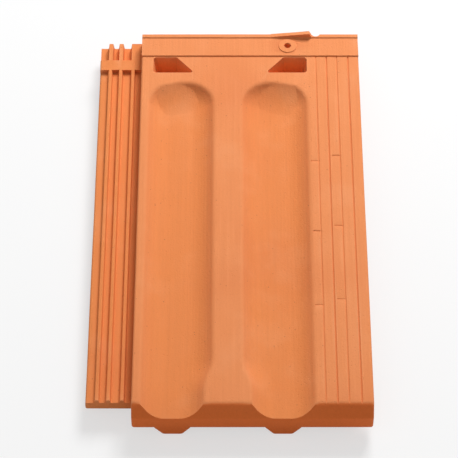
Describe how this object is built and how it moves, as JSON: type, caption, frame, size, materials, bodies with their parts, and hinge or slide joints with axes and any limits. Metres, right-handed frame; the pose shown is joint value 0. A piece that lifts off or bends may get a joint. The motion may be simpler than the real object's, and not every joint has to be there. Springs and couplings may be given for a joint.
{
  "type": "interlocking clay roof tile",
  "caption": "Pressed clay roof tile with two shallow pans, centre rib, flat cover rib, side lock, bevelled nose, head pockets and batten nibs.",
  "frame": {"origin": "below the middle of the tile, in the plane of its four feet", "axes": "+Y up the roof from nose to head, +X from the side lock to the cover rib, +Z out of the roof"},
  "size_m": [0.24, 0.41, 0.0416],
  "materials": {
    "fired_clay": "matt unglazed fired clay"
  },
  "bodies": {
    "root": {"roof_tile": "fired_clay"}
  },
  "joints": []
}
